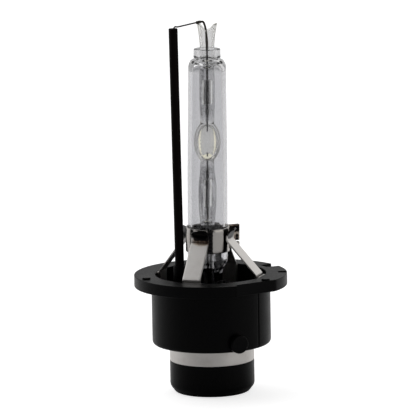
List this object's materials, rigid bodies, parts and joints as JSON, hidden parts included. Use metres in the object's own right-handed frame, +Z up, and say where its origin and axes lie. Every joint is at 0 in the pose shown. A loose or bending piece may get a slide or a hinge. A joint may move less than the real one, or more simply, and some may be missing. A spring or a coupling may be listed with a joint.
{
  "type": "gas-discharge headlight bulb",
  "caption": "Xenon headlight bulb: keyed black socket cap with a contact ring, clamped clear outer bulb round an arc tube, and a ceramic return tube beside it.",
  "frame": {"origin": "middle of the nose's flat end, on which the bulb stands", "axes": "+Z up along the bulb's axis; the four support fingers lie on the X and Y axes; the return tube stands between -X and -Y"},
  "size_m": [0.032, 0.032, 0.0782],
  "materials": {
    "cap_plastic": "fine moulded satin black",
    "well_plastic": "moulded black",
    "contact_metal": "drawn nickel-plated strip",
    "spring_steel": "rolled stainless strip",
    "clear_quartz": "fire-polished clear quartz",
    "black_ceramic": "unglazed black ceramic",
    "pale_ceramic": "unglazed pale ceramic",
    "lead_metal": "drawn nickel wire",
    "tungsten": "dark drawn tungsten",
    "foil_metal": "etched foil",
    "halide_salt": "frosted yellowish salt"
  },
  "bodies": {
    "root": {"cap_shell": "cap_plastic", "nose_insulator": "cap_plastic", "contact_ring": "contact_metal", "centre_contact": "contact_metal", "well_plate": "well_plastic", "mounting_ring": "spring_steel", "insulating_sleeve": "pale_ceramic", "outer_bulb": "clear_quartz", "arc_tube": "clear_quartz", "halide_salts": "halide_salt", "upper_electrode": "tungsten", "lower_electrode": "tungsten", "upper_foil": "foil_metal", "lower_foil": "foil_metal", "upper_lead": "lead_metal", "lower_lead": "lead_metal", "clamp_band": "spring_steel", "support_finger_1": "spring_steel", "support_finger_2": "spring_steel", "support_finger_3": "spring_steel", "support_finger_4": "spring_steel", "return_tube": "black_ceramic", "return_wire": "lead_metal", "lead_joint": "lead_metal"}
  },
  "joints": []
}
